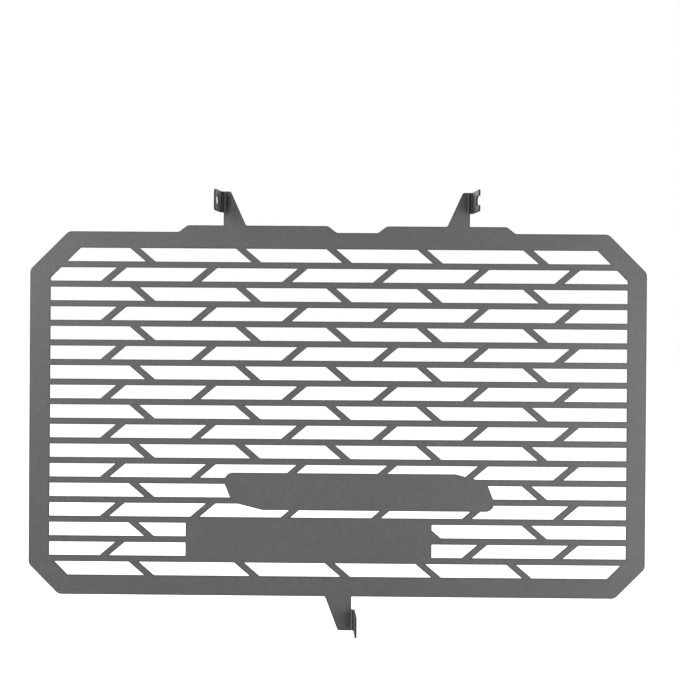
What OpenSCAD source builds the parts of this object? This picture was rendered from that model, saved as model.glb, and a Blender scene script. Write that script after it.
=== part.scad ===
// Motorcycle radiator guard: one sheet, laser cut to a slotted grille and folded at three ears.
// Millimetres. X runs across the guard and Z up it. The sheet's back is at Y = 0, and the ears
// fold forwards to -Y. The origin is on the back, at the middle of the grille opening.

/* [Sheet] */
// Thickness of the sheet
sheet_t = 1.2; // [0.8:0.1:3]
// Inner radius of the folds
bend_r = 1.2; // [0.6:0.1:3]

/* [Grille] */
// Width of the grille opening between the side stiles
opening_w = 367.4; // [330:0.2:420]
// Height of the grille opening between the rails
opening_h = 208.5; // [180:0.05:240]
// Number of slot rows, top to bottom
row_count = 17; // [15:1:21]
// Height of a cross bar
bar_h = 4; // [2.5:0.05:5]
// Width of a slanted rib, square to its length
rib_w = 4.05; // [2.5:0.05:5]
// Lean of the slanted ribs from the cross bars, in degrees
rib_lean = 40.4; // [35:0.1:50]
// Distance between the ribs in one row
rib_pitch = 57.75; // [50:0.05:62]
// Distance from the outer ribs of an odd row to the next ones
outer_rib_pitch = 67.4; // [60:0.1:72]
// Sideways shift of the ribs in the odd rows
odd_row_shift = 0.3; // [-3:0.1:3]
// Sideways shift of the ribs in the even rows
even_row_shift = 1; // [-3:0.1:3]
// Sideways shift of the ribs in the last row
last_row_shift = 0.5; // [-3:0.1:3]

/* [Frame] */
// Width of the left stile
left_stile_w = 13; // [9:0.1:18]
// Width of the right stile
right_stile_w = 12.1; // [9:0.1:18]
// Height of the top rail
top_rail_h = 10.5; // [8:0.1:15]
// Height of the bottom rail
bottom_rail_h = 12.5; // [8:0.1:16]
// Size of the chamfers at the top corners
top_chamfer = 24.5; // [18:0.1:34]
// Size of the chamfers at the bottom corners
bottom_chamfer = 19.2; // [15:0.1:28]
// Width of the frame across its left chamfers
left_corner_w = 12.8; // [10:0.1:15]
// Width of the frame across its right chamfers
right_corner_w = 12.2; // [10:0.1:15]
// Radius of the outer corners
corner_r = 5; // [2:0.5:8]

/* [Raised pads on the top rail] */
// Height of the pads above the top rail
pad_h = 4.3; // [2:0.1:7]
// Run of the sloped pad ends
pad_slope = 5.6; // [4:0.1:9]
// Radius of the pad corners
pad_r = 3.5; // [1:0.5:6]
// Top of the left pad, from its left end
left_pad_from = -96.4; // [-110:0.1:-85]
// Top of the left pad, to its right end
left_pad_to = -7; // [-30:0.1:-6]
// Top of the right pad, from its left end
right_pad_from = 30.5; // [24:0.1:45]
// Top of the right pad, to its right end
right_pad_to = 106.7; // [95:0.1:120]

/* [Solid panels in the grille] */
// Slot row that the upper panel fills
upper_panel_row = 13; // [11:1:13]
// Height of the upper panel above the cross bar over it
upper_panel_over = 3.3; // [2:0.1:4]
// Depth of the upper panel below the cross bar under it
upper_panel_under = 3.9; // [2:0.1:4]
// Upper left corner of the upper panel
upper_panel_left = -74.7; // [-84:0.1:-64]
// Lower right corner of the upper panel
upper_panel_right = 102.5; // [92:0.1:112]
// Run of the shallow slope at the panel's upper right and lower left
upper_panel_slope = 19.5; // [12:0.1:25]
// Drop of the shallow slope
upper_panel_drop = 4.9; // [4:0.1:7]
// Lean of the upper panel's ends, sideways over its height
upper_panel_lean = 9.6; // [6:0.1:14]
// Radius of the upper panel's two far corners
upper_panel_r = 5.5; // [1:0.5:6]
// First slot row that the lower panel fills
lower_panel_row = 15; // [15:1:15]
// Rows of slots that the lower panel fills
lower_panel_rows = 2; // [1:1:2]
// Left end of the lower panel
lower_panel_left = -96.5; // [-105:0.1:-85]
// Right end of the lower panel
lower_panel_right = 60.3; // [50:0.1:70]

/* [Ears] */
// Length of the upper ears above the pads
upper_ear_len = 21.6; // [17:0.1:30]
// Length of the lower ear below the bottom rail
lower_ear_len = 21.6; // [17:0.1:30]
// Fold line of the upper left ear
upper_left_fold = -73.5; // [-80:0.1:-65]
// Fold line of the upper right ear
upper_right_fold = 83.2; // [75:0.1:90]
// Fold line of the lower ear
lower_fold = 9.5; // [0:0.1:20]
// Width of the upper ears at their tips
upper_tip_w = 4.5; // [3:0.1:8]
// Width of the lower ear at its tip
lower_tip_w = 8.6; // [5:0.1:11]
// Width of the upper ears at their feet
upper_foot_w = 14.3; // [10:0.1:20]
// Width of the lower ear at its foot
lower_foot_w = 16.9; // [12:0.1:24]
// Radius of the ears' free corners
ear_tip_r = 1.5; // [0.5:0.1:3]

/* [Folded leaves] */
// Length of the upper left leaf past its fold
upper_left_len = 16.5; // [14:0.1:28]
// Length of the upper right leaf past its fold
upper_right_len = 19; // [14:0.1:28]
// Length of the lower leaf past its fold
lower_len = 19; // [14:0.1:28]
// Height of a leaf along its fold
leaf_h = 13.4; // [11:0.1:16]
// Fold of the upper left leaf from the sheet, in degrees
upper_left_bend = 83; // [70:0.5:90]
// Fold of the upper right leaf from the sheet, in degrees
upper_right_bend = 84; // [70:0.5:90]
// Fold of the lower leaf from the sheet, in degrees
lower_bend = 87; // [70:0.5:90]
// Radius of the leaves' free corners
leaf_r = 2.5; // [1:0.1:5]
// Diameter of the bolt holes
hole_d = 7.2; // [5.5:0.1:8.5]
// Width of the open bolt slot
slot_w = 5.8; // [5:0.1:8]
// Distance from a leaf's end to its bolt hole's centre
hole_inset = 6.4; // [5:0.1:9]
// Depth of the open bolt slot
slot_depth = 7.5; // [6:0.1:12]

/* [Hidden] */
$fn = 64;
arc_step = 9;
coat = [0.39, 0.39, 0.40];
// Cuts run this far past the faces that they cut
past = 1;

row_pitch = (opening_h + bar_h) / row_count;
left = -opening_w / 2 - left_stile_w;
right = opening_w / 2 + right_stile_w;
top = opening_h / 2 + top_rail_h;
bottom = -opening_h / 2 - bottom_rail_h;
pad_top = top + pad_h;
upper_tip = pad_top + upper_ear_len;
lower_tip = bottom - lower_ear_len;
panel_top = bar_z(upper_panel_row - 1) + bar_h / 2 + upper_panel_over;
panel_bottom = bar_z(upper_panel_row) - bar_h / 2 - upper_panel_under;

// Middle of a slot row, and of the cross bar under it
function row_z(row) = ((row_count + 1) / 2 - row) * row_pitch;
function bar_z(row) = row_z(row) - row_pitch / 2;

// Points of an arc of radius r that rounds corner b between its neighbours a and c
function corner_arc(a, b, c, r) =
    let (
        to_a = a - b,
        to_c = c - b,
        u = to_a / norm(to_a),
        v = to_c / norm(to_c),
        half = acos(u * v) / 2,
        room = 0.48 * min(norm(to_a), norm(to_c)),
        reach = min(r / tan(half), room),
        radius = reach * tan(half),
        centre = b + (u + v) / norm(u + v) * radius / sin(half),
        from = b + u * reach - centre,
        start = atan2(from.y, from.x),
        turn = u.x * v.y - u.y * v.x > 0 ? half * 2 - 180 : 180 - half * 2,
        steps = max(1, ceil(abs(turn) / arc_step))
    )
    [for (i = [0:steps]) centre + radius * [cos(start + turn * i / steps), sin(start + turn * i / steps)]];

// Outline of corners [x, z, radius], each rounded by its own radius
function rounded(corners) =
    let (n = len(corners))
    [for (i = [0:n - 1])
        let (
            a = corners[(i + n - 1) % n],
            b = corners[i],
            c = corners[(i + 1) % n]
        )
        each b[2] > 0 ? corner_arc([a.x, a.y], [b.x, b.y], [c.x, c.y], b[2]) : [[b.x, b.y]]];

// Outer edge of the flat sheet, anticlockwise from the lower left, ears included
module sheet_edge() {
    polygon(rounded([
        [left + bottom_chamfer, bottom, corner_r],
        [lower_fold - lower_foot_w, bottom, ear_tip_r],
        [lower_fold - lower_tip_w, lower_tip, ear_tip_r],
        [lower_fold, lower_tip, 0],
        [lower_fold, bottom, 0],
        [right - bottom_chamfer, bottom, corner_r],
        [right, bottom + bottom_chamfer, corner_r],
        [right, top - top_chamfer, corner_r],
        [right - top_chamfer, top, corner_r],
        [right_pad_to + pad_slope, top, pad_r],
        [right_pad_to, pad_top, pad_r],
        [upper_right_fold, pad_top, 0],
        [upper_right_fold, upper_tip, 0],
        [upper_right_fold - upper_tip_w, upper_tip, ear_tip_r],
        [upper_right_fold - upper_foot_w, pad_top, ear_tip_r],
        [right_pad_from, pad_top, pad_r],
        [right_pad_from - pad_slope, top, pad_r],
        [left_pad_to + pad_slope, top, pad_r],
        [left_pad_to, pad_top, pad_r],
        [upper_left_fold + upper_foot_w, pad_top, ear_tip_r],
        [upper_left_fold + upper_tip_w, upper_tip, ear_tip_r],
        [upper_left_fold, upper_tip, 0],
        [upper_left_fold, pad_top, 0],
        [left_pad_from, pad_top, pad_r],
        [left_pad_from - pad_slope, top, pad_r],
        [left + top_chamfer, top, corner_r],
        [left, top - top_chamfer, corner_r],
        [left, bottom + bottom_chamfer, corner_r]
    ]));
}

// Opening of the frame. Its chamfers run beside the outer ones, a corner width inside them.
module opening() {
    left_in = left_corner_w * sqrt(2) - left_stile_w;
    right_in = right_corner_w * sqrt(2) - right_stile_w;
    top_l = top_chamfer + left_in - top_rail_h;
    top_r = top_chamfer + right_in - top_rail_h;
    bottom_l = bottom_chamfer + left_in - bottom_rail_h;
    bottom_r = bottom_chamfer + right_in - bottom_rail_h;
    x = opening_w / 2;
    z = opening_h / 2;
    polygon([
        [-x + bottom_l, -z],
        [x - bottom_r, -z],
        [x, -z + bottom_r],
        [x, z - top_r],
        [x - top_r, z],
        [-x + top_l, z],
        [-x, z - top_l],
        [-x, -z + bottom_l]
    ]);
}

// Cross bars, one under each slot row but the last
module bars() {
    for (row = [1:row_count - 1])
        translate([0, bar_z(row)])
            square([opening_w + 2 * past, bar_h], center = true);
}

// One slanted rib, centred at x in its row. A lean of 1 rises to the right, -1 to the left.
module rib(x, row, lean) {
    half_w = rib_w / sin(rib_lean) / 2;
    rise = row_pitch / 2;
    run = lean * rise / tan(rib_lean);
    translate([x, row_z(row)])
        polygon([
            [-run - half_w, -rise],
            [-run + half_w, -rise],
            [run + half_w, rise],
            [run - half_w, rise]
        ]);
}

// Ribs of every row: five that rise to the left in the odd rows, six to the right in the even
module ribs() {
    for (row = [1:row_count]) {
        if (row % 2 == 1) {
            last = row == row_count;
            shift = last ? last_row_shift : odd_row_shift;
            end_pitch = last ? rib_pitch : outer_rib_pitch;
            for (i = [-1:1])
                rib(i * rib_pitch + shift, row, -1);
            rib(-rib_pitch - outer_rib_pitch + shift, row, -1);
            rib(rib_pitch + end_pitch + shift, row, -1);
        } else {
            for (i = [-2.5:2.5])
                rib(i * rib_pitch + even_row_shift, row, 1);
        }
    }
}

// Upper panel: a long hexagon that looks the same turned half round, with two rounded corners
module upper_panel() {
    slope_lean = upper_panel_lean * upper_panel_drop / (panel_top - panel_bottom);
    left_end = upper_panel_left + upper_panel_lean;
    right_end = upper_panel_right - upper_panel_lean;
    polygon(rounded([
        [upper_panel_left, panel_top, upper_panel_r],
        [left_end - slope_lean, panel_bottom + upper_panel_drop, 0],
        [left_end - slope_lean + upper_panel_slope, panel_bottom, 0],
        [upper_panel_right, panel_bottom, upper_panel_r],
        [right_end + slope_lean, panel_top - upper_panel_drop, 0],
        [right_end + slope_lean - upper_panel_slope, panel_top, 0]
    ]));
}

// Lower panel: whole rows left solid, from the middle of one cross bar to that of another
module lower_panel() {
    z_top = bar_z(lower_panel_row - 1);
    z_bottom = bar_z(lower_panel_row + lower_panel_rows - 1);
    translate([lower_panel_left, z_bottom])
        square([lower_panel_right - lower_panel_left, z_top - z_bottom]);
}

// Slots: what the bars, ribs and panels leave of the opening
module slots() {
    difference() {
        opening();
        bars();
        ribs();
        upper_panel();
        lower_panel();
    }
}

// The flat sheet, before its leaves
module flat_sheet() {
    rotate([90, 0, 0])
        linear_extrude(sheet_t)
            difference() {
                sheet_edge();
                slots();
            }
}

// Section of a fold from above: its root in the sheet's edge, the bend at x = 0 and the leaf
function fold_section(bend, leaf_len) =
    let (
        steps = ceil(bend / arc_step),
        centre = [0, -sheet_t - bend_r],
        leaf = (leaf_len + past) * [cos(bend), -sin(bend)],
        around = [for (i = [0:steps]) 90 - bend * i / steps],
        outer = [for (a = around) centre + (bend_r + sheet_t) * [cos(a), sin(a)]],
        inner = [for (i = [steps:-1:0]) centre + bend_r * [cos(around[i]), sin(around[i])]]
    )
    concat([[-past, 0]], outer, [outer[steps] + leaf, inner[0] + leaf], inner, [[-past, -sheet_t]]);

// Fold along Z from the sheet's right edge towards -Y. The child is the flat outline that the
// leaf is cut to, with the end of the bend at x = 0.
module fold(bend, leaf_len) {
    intersection() {
        translate([0, 0, -past])
            linear_extrude(leaf_h + 2 * past)
                polygon(fold_section(bend, leaf_len));
        translate([0, -sheet_t - bend_r, 0])
            rotate([0, 0, -bend])
                translate([0, leaf_len, 0])
                    rotate([90, 0, 0])
                        linear_extrude(2 * leaf_len)
                            children();
    }
}

// Outline of a leaf with rounded free corners and a bolt hole
module holed_leaf(leaf_len) {
    difference() {
        polygon(rounded([
            [-leaf_len, 0, 0],
            [leaf_len, 0, leaf_r],
            [leaf_len, leaf_h, leaf_r],
            [-leaf_len, leaf_h, 0]
        ]));
        translate([leaf_len - hole_inset, leaf_h / 2])
            circle(d = hole_d);
    }
}

// Outline of a leaf with square corners and a bolt slot that is open at its end
module slotted_leaf(leaf_len) {
    difference() {
        translate([-leaf_len, 0])
            square([2 * leaf_len, leaf_h]);
        translate([leaf_len - slot_depth + slot_w / 2, leaf_h / 2]) {
            circle(d = slot_w);
            translate([0, -slot_w / 2])
                square([slot_depth, slot_w]);
        }
    }
}

// The upper leaves hang from the tips of their ears, and the lower leaf stands on its own
module guard_panel() {
    color(coat) {
        flat_sheet();
        translate([upper_left_fold, 0, upper_tip])
            rotate([0, 180, 0])
                fold(upper_left_bend, upper_left_len)
                    holed_leaf(upper_left_len);
        translate([upper_right_fold, 0, upper_tip])
            mirror([0, 0, 1])
                fold(upper_right_bend, upper_right_len)
                    slotted_leaf(upper_right_len);
        translate([lower_fold, 0, lower_tip])
            fold(lower_bend, lower_len)
                holed_leaf(lower_len);
    }
}

guard_panel();
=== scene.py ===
"""Motorcycle radiator guard: the powder coat on its folded, laser-cut sheet, in a plain bright studio."""

from math import atan, radians

import bmesh
import bpy
from mathutils import Euler, Matrix, Vector


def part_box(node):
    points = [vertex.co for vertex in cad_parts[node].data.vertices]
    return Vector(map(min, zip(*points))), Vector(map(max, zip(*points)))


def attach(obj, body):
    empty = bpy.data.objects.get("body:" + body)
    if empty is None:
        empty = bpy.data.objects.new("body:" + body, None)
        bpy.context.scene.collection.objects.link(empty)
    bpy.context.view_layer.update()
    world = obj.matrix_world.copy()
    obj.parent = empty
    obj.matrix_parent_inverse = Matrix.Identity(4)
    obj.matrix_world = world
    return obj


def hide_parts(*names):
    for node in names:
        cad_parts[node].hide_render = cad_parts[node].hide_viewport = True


MM = 0.001

# The camera's place in front of the guard, and its turn from a square view
CAMERA_DISTANCE = 738 * MM
CAMERA_RIGHT = 7.2 * MM
CAMERA_UP = 60.03 * MM
CAMERA_PITCH = radians(0.141)
CAMERA_YAW = radians(0.479)
CAMERA_ROLL = radians(0.403)
CLIP_START = 10 * MM
# Its focal length and the side of the square picture, in pixels
FOCAL_PIXELS = 1158.1
IMAGE_PIXELS = 680
# The picture's middle lies this many pixels below the point that the camera faces
MIDDLE_BELOW = 18.3

# The floor's distance below the guard, its size, its paint and its glow, which only the camera sees
FLOOR_DROP = 60 * MM
FLOOR_SIZE = 12.0
FLOOR_GREY = (0.82, 0.82, 0.82, 1.0)
FLOOR_ROUGHNESS = 0.9
FLOOR_GLOW = 0.9
WHITE = (1.0, 1.0, 1.0, 1.0)
# How strongly the surround lights the guard, and how strongly it shows to the camera and in reflections
SURROUND_LIGHT = 0.2
SURROUND_SEEN = 1.0
# The square lamps, which all face the origin: their places, sizes and powers
LAMPS = {
    "right lamp": {"place": (0.44, -0.28, 0.02), "size": 0.36, "power": 1.95},
    "left lamp": {"place": (-0.44, -0.28, 0.22), "size": 0.36, "power": 2.3},
    "back lamp": {"place": (-0.3, 0.9, 0.6), "size": 0.8, "power": 7.0},
}

# The sheet's thickness
SHEET = 1.2 * MM
# Points closer than this are one
MERGE = 0.002 * MM
# Faces that meet at less than this lie in one plane
ONE_PLANE = radians(0.5)
# Where the y part of a face's normal is larger than this, the face lies flat in the sheet
FLAT = 0.999
# Faces that meet at less than this run on over a bend, and at more they meet in a cut edge
SHARP_FOLD = radians(25)
# Smaller faces off the flat of the sheet are parts of its bends, and are shaded round
BEND_FACE = 25 * MM * MM
# The numbers that mark the sheet's faces
CUT, FRONT, BACK = 0, 1, 2

# The coat's rounding of the cut edges, and how far from them it stays a little darker
COAT_EDGE = 0.16 * MM
EDGE_SEGMENTS = 2
EDGE_BAND = 1.0 * MM
# How much darker the coat is along the cut edges, and how much painted shade darkens the cut faces
EDGE_SHADE = 0.3
CUT_PAINTED_SHADE = 0.62

# The coat's colour, a dark grey in linear values, and its gloss
COAT_GREY = (0.108, 0.108, 0.108, 1.0)
COAT_SPECULAR = 0.3
# The depth of its pebble, and how much of it shows
PEBBLE_DEPTH = 0.05 * MM
PEBBLE_STRENGTH = 0.3
# The noises in the coat, each with its grains to the metre, its finer layers and their strength: the pebble
# and ripple of its surface, the speckle, mottle and slow drift of its shade, and its smoother patches
PEBBLE = {"scale": 1700, "detail": 2.0, "rough": 0.55}
RIPPLE = {"scale": 420, "detail": 2.0, "rough": 0.5}
SPECKLE = {"scale": 900, "detail": 3.0, "rough": 0.7}
MOTTLE = {"scale": 330, "detail": 1.0, "rough": 0.5}
DRIFT = {"scale": 9, "detail": 2.0, "rough": 0.5}
PATCHES = {"scale": 60, "detail": 3.0, "rough": 0.6}
# Nearly all values of a noise lie between these
NOISE_LOW = 0.3
NOISE_HIGH = 0.7
# The ripple's height in pebble heights
RIPPLE_HEIGHT = 1.4
# The least and the most that each noise makes of the shade and of the roughness
SPECKLE_RANGE = (0.86, 1.14)
MOTTLE_RANGE = (0.955, 1.045)
DRIFT_RANGE = (0.965, 1.035)
ROUGHNESS_RANGE = (0.52, 0.6)

# Each leaf: the half of the guard on which it stands, -1 left, 1 right or 0 either, up or down with 1 or
# -1, and the side of its fold on which its ear lies, 1 right or -1 left. Its look is the painted shade
# and light beside its fold: how much painted shade darkens the hollow on its ear, how much the leaf's
# painted light rises to its top, how far from the fold its crease runs, towards the ear, and how light
# the painted highlight on the crease is.
LEAVES = {
    "upper left": {
        "half": -1,
        "up": 1,
        "ear_side": 1,
        "look": {"Painted Hollow Shade": 0.8, "Painted Light Rise": 0.35, "Crease": 0.85 * MM, "Crease Light": 1.4},
    },
    "upper right": {
        "half": 1,
        "up": 1,
        "ear_side": -1,
        "look": {"Painted Hollow Shade": 0.52, "Painted Light Rise": 0.1, "Crease": 1.1 * MM, "Crease Light": 1.15},
    },
    "lower": {
        "half": 0,
        "up": -1,
        "ear_side": -1,
        "look": {"Painted Hollow Shade": 0.38, "Painted Light Rise": 0.0, "Crease": -0.15 * MM, "Crease Light": 1.5},
    },
}
# Points this far in front of the sheet's back belong to a leaf
LEAF_CLEAR = 5 * MM
# Points this close to the sheet's back plane lie on it
ON_BACK = 0.005 * MM
# The ear beside a leaf is narrower than this, and is measured to this far above and below the leaf
EAR_WIDTH = 25 * MM
EAR_MARGIN = 1 * MM

# The painted shade in the hollow on an ear beside its fold: its half width and half height, and the share
# of its width out to which it is even
HOLLOW_WIDTH = 6.0 * MM
HOLLOW_HEIGHT = 11 * MM
HOLLOW_EVEN = 0.35
# The half width of the painted highlight on a fold's crease, and how far past its middle the leaf's
# painted shade begins
CREASE_WIDTH = 0.6 * MM
PAST_CREASE = 0.45 * MM
# Half a leaf's height, and how far above and below its middle its painted shade reaches
LEAF_HALF = 6.7 * MM
LEAF_REACH = 2 * LEAF_HALF
# The painted shade and light over a leaf's inside, by the distance in front of the sheet's back
LEAF_DARK_TO = 2.2 * MM
LEAF_MID_AT = 11 * MM
LEAF_END_AT = 18 * MM
LEAF_DARK = 0.08
LEAF_MID = 1.0
LEAF_END = 1.4


def node_group(name, inputs, outputs):
    """A new shader node group from a vector and numbers to numbers, with its input and output nodes."""
    group = bpy.data.node_groups.new(name, "ShaderNodeTree")
    group.interface.new_socket("Vector", in_out="INPUT", socket_type="NodeSocketVector")
    for label in inputs:
        group.interface.new_socket(label, in_out="INPUT", socket_type="NodeSocketFloat")
    for label in outputs:
        group.interface.new_socket(label, in_out="OUTPUT", socket_type="NodeSocketFloat")
    return group, group.nodes.new("NodeGroupInput"), group.nodes.new("NodeGroupOutput")


def use_group(tree, group, vector):
    """A node of a shader node group, with its vector linked."""
    node = tree.nodes.new("ShaderNodeGroup")
    node.node_tree = group
    tree.links.new(vector, node.inputs["Vector"])
    return node


def put(tree, value, socket):
    """Sets a socket to a number, or links another socket to it."""
    if isinstance(value, (int, float)):
        socket.default_value = value
    else:
        tree.links.new(value, socket)


def split(tree, vector):
    """The X, Y and Z outputs of a vector socket."""
    node = tree.nodes.new("ShaderNodeSeparateXYZ")
    tree.links.new(vector, node.inputs["Vector"])
    return node.outputs


def attribute(tree, name):
    """The value of one of the mesh's own attributes."""
    node = tree.nodes.new("ShaderNodeAttribute")
    node.attribute_name = name
    return node.outputs["Fac"]


def noise(tree, vector, scale, detail, rough):
    """The value of a noise texture."""
    node = tree.nodes.new("ShaderNodeTexNoise")
    node.inputs["Scale"].default_value = scale
    node.inputs["Detail"].default_value = detail
    node.inputs["Roughness"].default_value = rough
    tree.links.new(vector, node.inputs["Vector"])
    return node.outputs["Fac"]


def remap(tree, value, low, high, to_low, to_high, smooth=False):
    """A value spread from low..high to to_low..to_high, clamped, and eased at both ends if smooth."""
    node = tree.nodes.new("ShaderNodeMapRange")
    node.interpolation_type = "SMOOTHSTEP" if smooth else "LINEAR"
    for name, number in (("From Min", low), ("From Max", high), ("To Min", to_low), ("To Max", to_high)):
        node.inputs[name].default_value = number
    tree.links.new(value, node.inputs["Value"])
    return node.outputs["Result"]


def noise_between(tree, vector, grain, limits):
    """A noise spread over the range from the first limit to the second."""
    return remap(tree, noise(tree, vector, **grain), NOISE_LOW, NOISE_HIGH, *limits)


def calculate(tree, operation, *values):
    """The result of a math node on one or two sockets or numbers."""
    node = tree.nodes.new("ShaderNodeMath")
    node.operation = operation
    for slot, value in enumerate(values):
        put(tree, value, node.inputs[slot])
    return node.outputs["Value"]


def times(tree, first, *others):
    """The product of two or more sockets or numbers."""
    product = first
    for other in others:
        product = calculate(tree, "MULTIPLY", product, other)
    return product


def plus(tree, a, b):
    """The sum of two sockets or numbers."""
    return calculate(tree, "ADD", a, b)


def minus(tree, a, b):
    """The first socket or number less the second."""
    return calculate(tree, "SUBTRACT", a, b)


def mix_values(tree, factor, a, b):
    """a where the factor is 0 and b where it is 1."""
    node = tree.nodes.new("ShaderNodeMix")
    node.data_type = "FLOAT"
    sockets = {socket.identifier: socket for socket in node.inputs}
    for name, value in (("Factor_Float", factor), ("A_Float", a), ("B_Float", b)):
        put(tree, value, sockets[name])
    return next(socket for socket in node.outputs if socket.identifier == "Result_Float")


def shaded(tree, colour, shade):
    """A colour multiplied by a shade socket."""
    node = tree.nodes.new("ShaderNodeMix")
    node.data_type = "RGBA"
    node.blend_type = "MULTIPLY"
    node.inputs["Factor"].default_value = 1.0
    sockets = {socket.identifier: socket for socket in node.inputs}
    sockets["A_Color"].default_value = colour
    tree.links.new(shade, sockets["B_Color"])
    return next(socket for socket in node.outputs if socket.identifier == "Result_Color")


def coat_texture_group():
    """The fine pebble of a textured powder coat: its height, its uneven shade and its roughness."""
    group, source, sink = node_group("powder_texture", (), ("Height", "Shade", "Roughness"))
    vector = source.outputs["Vector"]
    ripple = times(group, noise(group, vector, **RIPPLE), RIPPLE_HEIGHT)
    height = plus(group, noise(group, vector, **PEBBLE), ripple)
    shade = times(
        group,
        noise_between(group, vector, SPECKLE, SPECKLE_RANGE),
        noise_between(group, vector, MOTTLE, MOTTLE_RANGE),
        noise_between(group, vector, DRIFT, DRIFT_RANGE),
    )
    group.links.new(height, sink.inputs["Height"])
    group.links.new(shade, sink.inputs["Shade"])
    group.links.new(noise_between(group, vector, PATCHES, ROUGHNESS_RANGE), sink.inputs["Roughness"])
    return group


def fold_shade_group():
    """Painted shade and light by one fold: its ear's shade, crease's highlight, leaf's place and light."""
    group, source, sink = node_group(
        "fold_shade",
        ("Fold", "Ear Side", "Leaf Middle", "Painted Hollow Shade", "Painted Light Rise", "Crease", "Crease Light"),
        ("Ear", "Crease", "Leaf", "Leaf Light"),
    )
    given = source.outputs
    at = split(group, given["Vector"])
    # How far a point lies from the fold towards the ear, and above the leaf's middle
    across = times(group, minus(group, at["X"], given["Fold"]), given["Ear Side"])
    above = minus(group, at["Z"], given["Leaf Middle"])
    along = calculate(group, "ABSOLUTE", above)

    # Painted shade in the hollow on the ear beside the fold
    reach_x = calculate(group, "POWER", calculate(group, "DIVIDE", across, HOLLOW_WIDTH), 2.0)
    reach_z = calculate(group, "POWER", calculate(group, "DIVIDE", along, HOLLOW_HEIGHT), 2.0)
    reach = calculate(group, "SQRT", plus(group, reach_x, reach_z))
    hollow_shade = times(group, remap(group, reach, HOLLOW_EVEN, 1.0, 1.0, 0.0, smooth=True), given["Painted Hollow Shade"])
    group.links.new(minus(group, 1.0, hollow_shade), sink.inputs["Ear"])

    # A painted highlight along the crease
    past = minus(group, across, given["Crease"])
    crease = remap(group, calculate(group, "ABSOLUTE", past), 0.0, CREASE_WIDTH, 1.0, 0.0)
    crease = times(group, crease, calculate(group, "LESS_THAN", along, LEAF_HALF), given["Crease Light"])
    group.links.new(crease, sink.inputs["Crease"])

    beside = calculate(group, "LESS_THAN", along, LEAF_REACH)
    leaf = times(group, calculate(group, "LESS_THAN", past, -PAST_CREASE), beside)
    group.links.new(leaf, sink.inputs["Leaf"])
    # Painted light on the leaf, lighter towards its top and darker towards its bottom
    light = times(group, remap(group, above, -LEAF_HALF, LEAF_HALF, -1.0, 1.0), leaf, given["Painted Light Rise"])
    group.links.new(light, sink.inputs["Leaf Light"])
    return group


def leaf_shade(tree, place):
    """The painted shade over a leaf's inside, from dark at its bend to light at its free end."""
    out = times(tree, split(tree, place)["Y"], -1.0)
    to_middle = remap(tree, out, LEAF_DARK_TO, LEAF_MID_AT, LEAF_DARK, LEAF_MID)
    to_end = remap(tree, out, LEAF_MID_AT, LEAF_END_AT, 0.0, LEAF_END - LEAF_MID)
    return plus(tree, to_middle, to_end)


def front_shade(tree, place, folds):
    """Painted shade on the front: dark in the folds, painted light on the creases, and graded on each leaf.
    """
    group = fold_shade_group()
    ear_shade, creases, on_leaf, leaf_light = 1.0, 0.0, 0.0, 1.0
    for fold in folds:
        shading = use_group(tree, group, place)
        for name, value in fold.items():
            shading.inputs[name].default_value = value
        ear_shade = times(tree, shading.outputs["Ear"], ear_shade)
        creases = plus(tree, shading.outputs["Crease"], creases)
        on_leaf = plus(tree, shading.outputs["Leaf"], on_leaf)
        leaf_light = plus(tree, shading.outputs["Leaf Light"], leaf_light)
    leaves = times(tree, leaf_shade(tree, place), leaf_light)
    return plus(tree, mix_values(tree, on_leaf, ear_shade, leaves), creases)


def powder_coat(folds):
    """Textured dark grey powder coat, darker along cut edges, with painted shade in folds and on cut faces.
    """
    material = bpy.data.materials.new("powder_coat")
    material.use_nodes = True
    tree = material.node_tree
    shader = tree.nodes["Principled BSDF"]
    shader.inputs["Specular IOR Level"].default_value = COAT_SPECULAR
    place = tree.nodes.new("ShaderNodeTexCoord").outputs["Object"]
    texture = use_group(tree, coat_texture_group(), place)

    # Painted shade in the folds and painted highlights on their creases, on the front side only
    front = mix_values(tree, attribute(tree, "front_side"), 1.0, front_shade(tree, place, folds))
    edge = minus(tree, 1.0, times(tree, attribute(tree, "edge_band"), EDGE_SHADE))
    # Painted shade on the cut faces
    cut = minus(tree, 1.0, times(tree, attribute(tree, "cut_face"), CUT_PAINTED_SHADE))
    shade = times(tree, texture.outputs["Shade"], front, edge, cut)
    tree.links.new(shaded(tree, COAT_GREY, shade), shader.inputs["Base Color"])
    tree.links.new(texture.outputs["Roughness"], shader.inputs["Roughness"])

    bump = tree.nodes.new("ShaderNodeBump")
    bump.inputs["Strength"].default_value = PEBBLE_STRENGTH
    bump.inputs["Distance"].default_value = PEBBLE_DEPTH
    tree.links.new(texture.outputs["Height"], bump.inputs["Height"])
    tree.links.new(bump.outputs["Normal"], shader.inputs["Normal"])
    return material


def leaf_fold(mesh, half, up, ear_side, look):
    """What the painted shade and light need of a leaf's fold, with its place measured from the mesh."""
    points = [v.co for v in mesh.vertices]
    leaf = [p for p in points if p.y < -LEAF_CLEAR and p.z * up > 0 and p.x * half >= 0]
    low = min(p.z for p in leaf)
    high = max(p.z for p in leaf)
    side = min(p.x for p in leaf)
    beside = [p for p in points if low - EAR_MARGIN < p.z < high + EAR_MARGIN]
    ear = [p.x for p in beside if p.y > -ON_BACK and abs(p.x - side) < EAR_WIDTH]
    return {
        "Fold": min(ear) if ear_side > 0 else max(ear),
        "Ear Side": ear_side,
        "Leaf Middle": (low + high) / 2,
        **look,
    }


def sharp(edge):
    """Whether two faces meet at this edge in a cut edge of the sheet."""
    return len(edge.link_faces) == 2 and edge.calc_face_angle() > SHARP_FOLD


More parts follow.
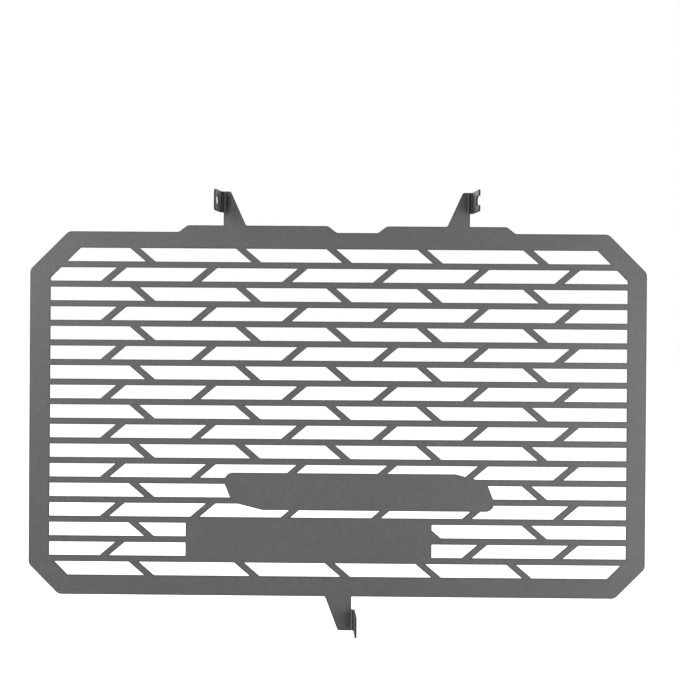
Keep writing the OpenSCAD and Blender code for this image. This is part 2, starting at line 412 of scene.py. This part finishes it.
def spread(faces):
    """The faces that are reached from these ones without crossing a cut edge."""
    reached = set(faces)
    waiting = list(faces)
    while waiting:
        for edge in waiting.pop().edges:
            if len(edge.link_faces) != 2 or sharp(edge):
                continue
            for other in edge.link_faces:
                if other not in reached:
                    reached.add(other)
                    waiting.append(other)
    return reached


def sheet_side(shape, number):
    """The sheet's front or back, with the bends and leaves that run on from it."""
    way = -1 if number == FRONT else 1
    flat = [f for f in shape.faces if f.normal.y * way > FLAT and f.calc_center_median().y > -2 * SHEET]
    return spread(flat)


def merge(shape, mesh):
    """Fills the shape with the mesh, its loose triangles joined to whole faces."""
    shape.from_mesh(mesh)
    bmesh.ops.remove_doubles(shape, verts=shape.verts[:], dist=MERGE)
    bmesh.ops.dissolve_limit(
        shape,
        angle_limit=ONE_PLANE,
        use_dissolve_boundaries=False,
        verts=shape.verts[:],
        edges=shape.edges[:],
        delimit=set(),
    )


def cut_edge_bands(shape):
    """Cuts a narrow band from the rest of each side of the sheet, all along its cut edges."""
    for number in (FRONT, BACK):
        bmesh.ops.inset_region(
            shape,
            faces=list(sheet_side(shape, number)),
            thickness=EDGE_BAND,
            depth=0.0,
            use_boundary=True,
            use_even_offset=True,
            use_interpolate=True,
        )


def mark_faces(shape):
    """Marks each face as front, back or cut in a layer, which it gives, and shades the bends round."""
    side = shape.faces.layers.int.new("side")
    for face in shape.faces:
        face[side] = CUT
        face.smooth = abs(face.normal.y) < FLAT and face.calc_area() < BEND_FACE
    for number in (FRONT, BACK):
        for face in sheet_side(shape, number):
            face[side] = number
    return side


def round_cut_edges(shape):
    """Rounds the cut edges as the coat does, and gives the faces of the rounding."""
    made = bmesh.ops.bevel(
        shape,
        geom=[edge for edge in shape.edges if sharp(edge)],
        offset=COAT_EDGE,
        offset_type="OFFSET",
        affect="EDGES",
        segments=EDGE_SEGMENTS,
        profile=0.5,
        material=-1,
        clamp_overlap=True,
        harden_normals=False,
    )
    for face in made["faces"]:
        face.smooth = True
    return set(made["faces"])


def mark_points(shape, side, rounding):
    """Turns the faces' marks into what the coat reads at each point: edge_band, cut_face and front_side."""
    edge_band = shape.verts.layers.float.new("edge_band")
    cut_face = shape.verts.layers.float.new("cut_face")
    front_side = shape.verts.layers.float.new("front_side")
    layers = {CUT: cut_face, FRONT: front_side}
    for face in shape.faces:
        layer = edge_band if face in rounding else layers.get(face[side])
        if layer is not None:
            for vert in face.verts:
                vert[layer] = 1.0
    shape.faces.layers.int.remove(side)


def coated_sheet(mesh):
    """The folded sheet with its cut edges rounded by the coat, and what its coat reads in its attributes."""
    mesh = mesh.copy()
    mesh.name = "coated_sheet"
    shape = bmesh.new()
    merge(shape, mesh)
    cut_edge_bands(shape)
    side = mark_faces(shape)
    rounding = round_cut_edges(shape)
    mark_points(shape, side, rounding)
    # Where a step in the outline is shorter than the rounding, its corners end up in one place
    bmesh.ops.remove_doubles(shape, verts=shape.verts[:], dist=MERGE)
    bmesh.ops.dissolve_degenerate(shape, dist=MERGE, edges=shape.edges[:])
    shape.to_mesh(mesh)
    shape.free()
    mesh.update()
    piece = bpy.data.objects.new("coated_sheet", mesh)
    bpy.context.scene.collection.objects.link(piece)
    return piece


def floor(height):
    """A wide pale floor that shows white to the camera."""
    bpy.ops.mesh.primitive_plane_add(size=FLOOR_SIZE, location=(0, 0, height))
    plane = bpy.context.object
    plane.name = "floor"
    paint = bpy.data.materials.new("floor_paint")
    paint.use_nodes = True
    tree = paint.node_tree
    shader = tree.nodes["Principled BSDF"]
    shader.inputs["Base Color"].default_value = FLOOR_GREY
    shader.inputs["Roughness"].default_value = FLOOR_ROUGHNESS
    shader.inputs["Emission Color"].default_value = WHITE
    ray = tree.nodes.new("ShaderNodeLightPath").outputs
    glow = times(tree, ray["Is Camera Ray"], FLOOR_GLOW)
    tree.links.new(glow, shader.inputs["Emission Strength"])
    plane.data.materials.append(paint)


def surround():
    """Soft light from every side, which shows white to the camera and in reflections."""
    world = bpy.data.worlds.new("white_surround")
    bpy.context.scene.world = world
    world.use_nodes = True
    tree = world.node_tree
    light = tree.nodes["Background"]
    light.inputs["Color"].default_value = WHITE
    ray = tree.nodes.new("ShaderNodeLightPath").outputs
    seen = calculate(tree, "MAXIMUM", ray["Is Camera Ray"], ray["Is Glossy Ray"])
    seen = calculate(tree, "MAXIMUM", seen, ray["Is Transmission Ray"])
    tree.links.new(remap(tree, seen, 0, 1, SURROUND_LIGHT, SURROUND_SEEN), light.inputs["Strength"])


def soft_lamp(name, place, size, power):
    """A large square lamp at place, facing the origin."""
    data = bpy.data.lights.new(name, "AREA")
    data.shape = "SQUARE"
    data.size = size
    data.energy = power
    lamp = bpy.data.objects.new(name, data)
    lamp.location = place
    lamp.rotation_euler = (-Vector(place)).to_track_quat("-Z", "Y").to_euler()
    bpy.context.scene.collection.objects.link(lamp)


def camera():
    """The camera, square to the guard but for small turns."""
    data = bpy.data.cameras.new("camera")
    data.sensor_fit = "HORIZONTAL"
    data.angle = 2 * atan(IMAGE_PIXELS / 2 / FOCAL_PIXELS)
    data.shift_y = -MIDDLE_BELOW / IMAGE_PIXELS
    data.clip_start = CLIP_START
    eye = bpy.data.objects.new("camera", data)
    # From the world's axes to right, down and forward in a square view, and the turns about those
    square = Matrix(((1, 0, 0), (0, 0, -1), (0, 1, 0)))
    turn = Euler((CAMERA_PITCH, CAMERA_YAW, CAMERA_ROLL), "XYZ").to_matrix()
    # A camera's own axes point right, up and backward
    own_axes = Matrix(((1, 0, 0), (0, -1, 0), (0, 0, -1)))
    place = Matrix.Translation((CAMERA_RIGHT, -CAMERA_DISTANCE, CAMERA_UP))
    eye.matrix_world = place @ ((turn @ square).transposed() @ own_axes).to_4x4()
    bpy.context.scene.collection.objects.link(eye)
    bpy.context.scene.camera = eye


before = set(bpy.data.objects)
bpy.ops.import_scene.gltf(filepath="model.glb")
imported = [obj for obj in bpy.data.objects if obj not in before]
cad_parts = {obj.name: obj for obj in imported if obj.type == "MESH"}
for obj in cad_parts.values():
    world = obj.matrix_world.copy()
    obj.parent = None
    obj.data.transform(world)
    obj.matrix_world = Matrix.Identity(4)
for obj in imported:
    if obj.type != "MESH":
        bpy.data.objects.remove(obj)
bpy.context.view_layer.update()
bpy.context.scene.view_settings.view_transform = "Standard"

camera()
floor(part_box("guard_panel")[0].z - FLOOR_DROP)
surround()
for lamp_name, lamp in LAMPS.items():
    soft_lamp(lamp_name, **lamp)

guard_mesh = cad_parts["guard_panel"].data
leaf_folds = [leaf_fold(guard_mesh, **leaf) for leaf in LEAVES.values()]
sheet = coated_sheet(guard_mesh)
sheet.data.materials.clear()
sheet.data.materials.append(powder_coat(leaf_folds))
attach(sheet, "root")
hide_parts("guard_panel")
